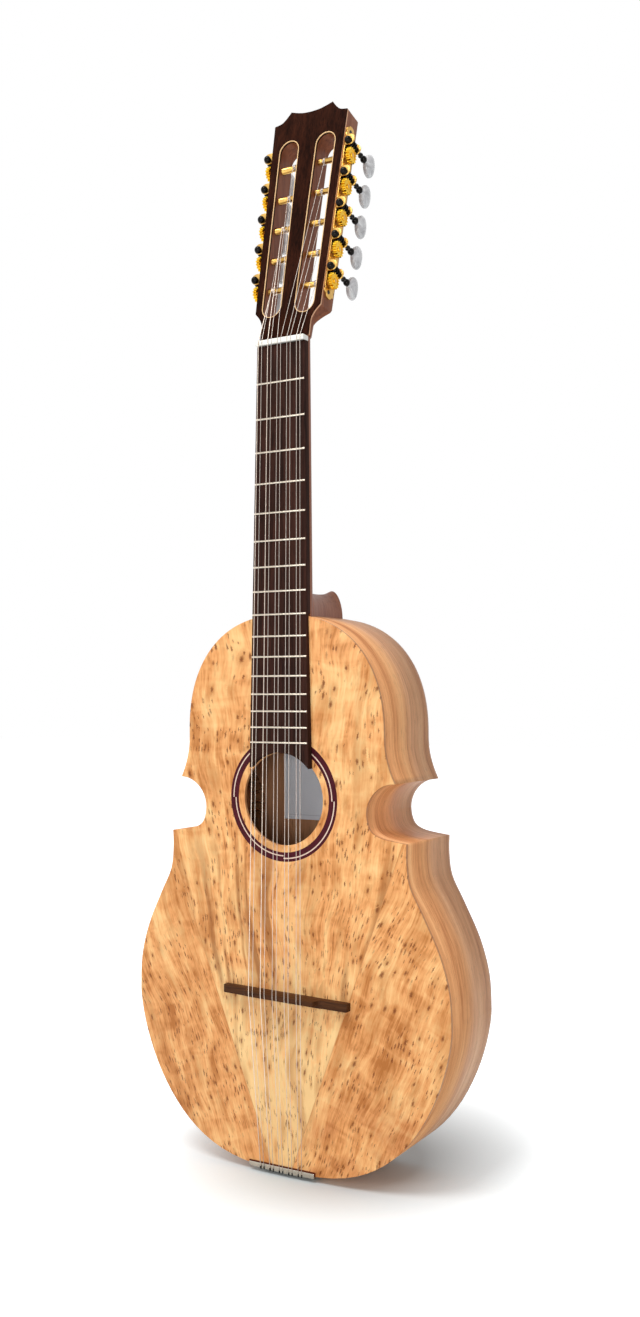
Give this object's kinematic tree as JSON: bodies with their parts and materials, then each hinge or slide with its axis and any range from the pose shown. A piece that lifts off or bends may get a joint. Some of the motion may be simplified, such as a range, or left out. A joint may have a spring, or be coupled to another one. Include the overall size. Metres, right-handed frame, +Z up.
{
  "type": "cuatro",
  "caption": "Steel-strung lute-like guitar with a violin-shaped wooden body, slotted headstock, geared gold tuners, floating bridge and tail plate, strings in pairs.",
  "frame": {"origin": "where a wall hanger's yoke holds the neck, under the shoulders of the headstock, on the middle line", "axes": "+Z up the neck from the tail to the headstock, +Y from the soundboard to the back, +X to the right of someone who looks at the soundboard"},
  "size_m": [0.31, 0.1026, 0.8851],
  "materials": {
    "soundboard": "figured pale orange top, satin lacquer",
    "back": "striped reddish-tan wood, satin lacquer",
    "sides": "striped reddish-tan wood, satin lacquer",
    "inner_wood": "bare wood",
    "neck_wood": "red-brown mahogany, satin lacquer",
    "headplate": "dark rosewood, satin lacquer",
    "fretboard": "dark rosewood, oiled",
    "bridge_wood": "dark rosewood, oiled",
    "rosette_wood": "dark purple-red inlay, lacquered",
    "bone": "polished bone",
    "gold_plate": "bright gold plate",
    "black_metal": "black plated steel",
    "pearl_plastic": "pearl-white plastic",
    "nickel": "bright nickel",
    "string_steel": "drawn steel wire",
    "paper": "plain paper"
  },
  "bodies": {
    "root": {"back_brace_lower": "inner_wood", "back_brace_upper": "inner_wood", "back_plate": "back", "bridge": "bridge_wood", "fretboard": "fretboard", "head_veneer": "headplate", "label": "paper", "lower_brace": "inner_wood", "machine_plate_left": "gold_plate", "machine_plate_right": "gold_plate", "neck": "neck_wood", "neck_block": "inner_wood", "nut": "bone", "rib_left": "sides", "rib_right": "sides", "rosette": "rosette_wood", "soundboard": "soundboard", "string_left_1": "string_steel", "string_left_2": "string_steel", "string_left_3": "string_steel", "string_left_4": "string_steel", "string_left_5": "string_steel", "string_right_1": "string_steel", "string_right_2": "string_steel", "string_right_3": "string_steel", "string_right_4": "string_steel", "string_right_5": "string_steel", "tail_block": "inner_wood", "tailpiece": "nickel", "upper_brace": "inner_wood"},
    "button_left_1": {"worm_left_1": "black_metal"},
    "winder_left_1": {"roller_left_1": "gold_plate", "gear_left_1": "gold_plate"},
    "button_left_2": {"worm_left_2": "black_metal"},
    "winder_left_2": {"roller_left_2": "gold_plate", "gear_left_2": "gold_plate"},
    "button_left_3": {"worm_left_3": "black_metal"},
    "winder_left_3": {"roller_left_3": "gold_plate", "gear_left_3": "gold_plate"},
    "button_left_4": {"worm_left_4": "black_metal"},
    "winder_left_4": {"roller_left_4": "gold_plate", "gear_left_4": "gold_plate"},
    "button_left_5": {"worm_left_5": "black_metal"},
    "winder_left_5": {"roller_left_5": "gold_plate", "gear_left_5": "gold_plate"},
    "button_right_1": {"worm_right_1": "black_metal"},
    "winder_right_1": {"roller_right_1": "gold_plate", "gear_right_1": "gold_plate"},
    "button_right_2": {"worm_right_2": "black_metal"},
    "winder_right_2": {"roller_right_2": "gold_plate", "gear_right_2": "gold_plate"},
    "button_right_3": {"worm_right_3": "black_metal"},
    "winder_right_3": {"roller_right_3": "gold_plate", "gear_right_3": "gold_plate"},
    "button_right_4": {"worm_right_4": "black_metal"},
    "winder_right_4": {"roller_right_4": "gold_plate", "gear_right_4": "gold_plate"},
    "button_right_5": {"worm_right_5": "black_metal"},
    "winder_right_5": {"roller_right_5": "gold_plate", "gear_right_5": "gold_plate"}
  },
  "joints": [
    {"name": "worm_turn_left_1", "type": "hinge", "parent": "root", "child": "button_left_1", "pos_m": [-0.03609, 0.00716, 0.03889], "axis": [0, 0.9732, -0.23], "continuous": true},
    {"name": "roller_turn_left_1", "type": "hinge", "parent": "root", "child": "winder_left_1", "pos_m": [-0.03129, 0.00511, 0.03024], "axis": [0.9997, 0.0052, 0.0221], "continuous": true},
    {"name": "worm_turn_left_2", "type": "hinge", "parent": "root", "child": "button_left_2", "pos_m": [-0.03669, 0.01321, 0.06449], "axis": [0, 0.9732, -0.23], "continuous": true},
    {"name": "roller_turn_left_2", "type": "hinge", "parent": "root", "child": "winder_left_2", "pos_m": [-0.03188, 0.01116, 0.05583], "axis": [0.9997, 0.0052, 0.0221], "continuous": true},
    {"name": "worm_turn_left_3", "type": "hinge", "parent": "root", "child": "button_left_3", "pos_m": [-0.03728, 0.01926, 0.09008], "axis": [0, 0.9732, -0.23], "continuous": true},
    {"name": "roller_turn_left_3", "type": "hinge", "parent": "root", "child": "winder_left_3", "pos_m": [-0.03248, 0.01721, 0.08143], "axis": [0.9997, 0.0052, 0.0221], "continuous": true},
    {"name": "worm_turn_left_4", "type": "hinge", "parent": "root", "child": "button_left_4", "pos_m": [-0.03788, 0.02531, 0.11568], "axis": [0, 0.9732, -0.23], "continuous": true},
    {"name": "roller_turn_left_4", "type": "hinge", "parent": "root", "child": "winder_left_4", "pos_m": [-0.03308, 0.02327, 0.10702], "axis": [0.9997, 0.0052, 0.0221], "continuous": true},
    {"name": "worm_turn_left_5", "type": "hinge", "parent": "root", "child": "button_left_5", "pos_m": [-0.03848, 0.03136, 0.14127], "axis": [0, 0.9732, -0.23], "continuous": true},
    {"name": "roller_turn_left_5", "type": "hinge", "parent": "root", "child": "winder_left_5", "pos_m": [-0.03368, 0.02932, 0.13262], "axis": [0.9997, 0.0052, 0.0221], "continuous": true},
    {"name": "worm_turn_right_1", "type": "hinge", "parent": "root", "child": "button_right_1", "pos_m": [0.03609, 0.00716, 0.03889], "axis": [0, 0.9732, -0.23], "continuous": true},
    {"name": "roller_turn_right_1", "type": "hinge", "parent": "root", "child": "winder_right_1", "pos_m": [0.03129, 0.00511, 0.03024], "axis": [0.9997, -0.0052, -0.0221], "continuous": true},
    {"name": "worm_turn_right_2", "type": "hinge", "parent": "root", "child": "button_right_2", "pos_m": [0.03669, 0.01321, 0.06449], "axis": [0, 0.9732, -0.23], "continuous": true},
    {"name": "roller_turn_right_2", "type": "hinge", "parent": "root", "child": "winder_right_2", "pos_m": [0.03188, 0.01116, 0.05583], "axis": [0.9997, -0.0052, -0.0221], "continuous": true},
    {"name": "worm_turn_right_3", "type": "hinge", "parent": "root", "child": "button_right_3", "pos_m": [0.03728, 0.01926, 0.09008], "axis": [0, 0.9732, -0.23], "continuous": true},
    {"name": "roller_turn_right_3", "type": "hinge", "parent": "root", "child": "winder_right_3", "pos_m": [0.03248, 0.01721, 0.08143], "axis": [0.9997, -0.0052, -0.0221], "continuous": true},
    {"name": "worm_turn_right_4", "type": "hinge", "parent": "root", "child": "button_right_4", "pos_m": [0.03788, 0.02531, 0.11568], "axis": [0, 0.9732, -0.23], "continuous": true},
    {"name": "roller_turn_right_4", "type": "hinge", "parent": "root", "child": "winder_right_4", "pos_m": [0.03308, 0.02327, 0.10702], "axis": [0.9997, -0.0052, -0.0221], "continuous": true},
    {"name": "worm_turn_right_5", "type": "hinge", "parent": "root", "child": "button_right_5", "pos_m": [0.03848, 0.03136, 0.14127], "axis": [0, 0.9732, -0.23], "continuous": true},
    {"name": "roller_turn_right_5", "type": "hinge", "parent": "root", "child": "winder_right_5", "pos_m": [0.03368, 0.02932, 0.13262], "axis": [0.9997, -0.0052, -0.0221], "continuous": true}
  ],
  "couplings": [
    {"joint": "roller_turn_left_1", "follows": "worm_turn_left_1", "ratio": 0.071429},
    {"joint": "roller_turn_left_2", "follows": "worm_turn_left_2", "ratio": 0.071429},
    {"joint": "roller_turn_left_3", "follows": "worm_turn_left_3", "ratio": 0.071429},
    {"joint": "roller_turn_left_4", "follows": "worm_turn_left_4", "ratio": 0.071429},
    {"joint": "roller_turn_left_5", "follows": "worm_turn_left_5", "ratio": 0.071429},
    {"joint": "roller_turn_right_1", "follows": "worm_turn_right_1", "ratio": 0.071429},
    {"joint": "roller_turn_right_2", "follows": "worm_turn_right_2", "ratio": 0.071429},
    {"joint": "roller_turn_right_3", "follows": "worm_turn_right_3", "ratio": 0.071429},
    {"joint": "roller_turn_right_4", "follows": "worm_turn_right_4", "ratio": 0.071429},
    {"joint": "roller_turn_right_5", "follows": "worm_turn_right_5", "ratio": 0.071429}
  ]
}
